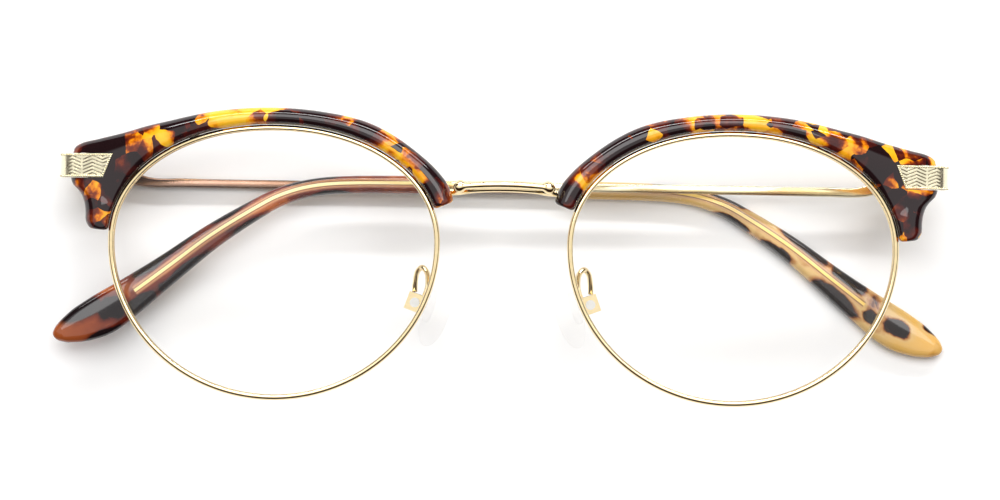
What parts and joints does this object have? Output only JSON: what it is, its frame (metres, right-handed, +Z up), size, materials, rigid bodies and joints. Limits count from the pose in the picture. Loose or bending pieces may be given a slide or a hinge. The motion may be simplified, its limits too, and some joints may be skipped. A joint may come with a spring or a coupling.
{
  "type": "half rim eyeglasses",
  "caption": "Half rim eyeglasses: tortoise acetate brows on slim gold eyewires, clear lenses, adjustable silicone nose pads and folding temples with tortoise tips.",
  "frame": {"origin": "centre of the bounding box's base, on the surface the folded glasses lie on", "axes": "+Z up, out of the front of the glasses; +Y towards the brows; +X towards the wearer's left"},
  "size_m": [0.1368, 0.0438, 0.0213],
  "materials": {
    "gold": "polished pale gold plating",
    "steel": "polished small screws",
    "tortoise": "polished tortoise acetate with amber patches",
    "lens": "clear, polished",
    "silicone": "clear soft silicone",
    "pad_core": "clear hard plastic insert"
  },
  "bodies": {
    "front": {"bridge": "gold", "bridge_brace": "gold", "left_eyewire": "gold", "left_lens": "lens", "left_brow": "tortoise", "left_inner_brow_tab": "gold", "left_inner_brow_screw": "steel", "left_outer_brow_tab": "gold", "left_outer_brow_screw": "steel", "left_endpiece": "gold", "left_endpiece_trim": "gold", "left_lower_rim_lock": "gold", "left_upper_rim_lock": "gold", "left_rim_lock_screw": "steel", "left_front_hinge_leaf": "gold", "left_hinge_screw": "steel", "left_pad_arm": "gold", "left_pad_box": "gold", "left_pad_screw": "steel", "right_eyewire": "gold", "right_lens": "lens", "right_brow": "tortoise", "right_inner_brow_tab": "gold", "right_inner_brow_screw": "steel", "right_outer_brow_tab": "gold", "right_outer_brow_screw": "steel", "right_endpiece": "gold", "right_endpiece_trim": "gold", "right_lower_rim_lock": "gold", "right_upper_rim_lock": "gold", "right_rim_lock_screw": "steel", "right_front_hinge_leaf": "gold", "right_hinge_screw": "steel", "right_pad_arm": "gold", "right_pad_box": "gold", "right_pad_screw": "steel"},
    "left_temple": {"left_temple_shaft": "gold", "left_temple_tip": "tortoise", "left_temple_hinge_leaf": "gold"},
    "left_pad": {"left_nose_pad": "silicone", "left_pad_mount": "pad_core"},
    "right_temple": {"right_temple_shaft": "gold", "right_temple_tip": "tortoise", "right_temple_hinge_leaf": "gold"},
    "right_pad": {"right_nose_pad": "silicone", "right_pad_mount": "pad_core"}
  },
  "joints": [
    {"name": "right_temple_hinge", "type": "hinge", "parent": "front", "child": "right_temple", "pos_m": [-0.06343, 0.01377, 0.0039], "axis": [0, 1, 0], "range_deg": [0, 90]},
    {"name": "left_temple_hinge", "type": "hinge", "parent": "front", "child": "left_temple", "pos_m": [0.06342, 0.01377, 0.00744], "axis": [0, -1, 0], "range_deg": [0, 93]},
    {"name": "left_pad_pivot", "type": "hinge", "parent": "front", "child": "left_pad", "pos_m": [0.0132, -0.00649, 0.00929], "axis": [-0.0278, -0.0872, 0.9958], "range_deg": [-10, 10]},
    {"name": "right_pad_pivot", "type": "hinge", "parent": "front", "child": "right_pad", "pos_m": [-0.01339, -0.00649, 0.00855], "axis": [-0.0278, -0.0872, 0.9958], "range_deg": [-10, 10]}
  ]
}
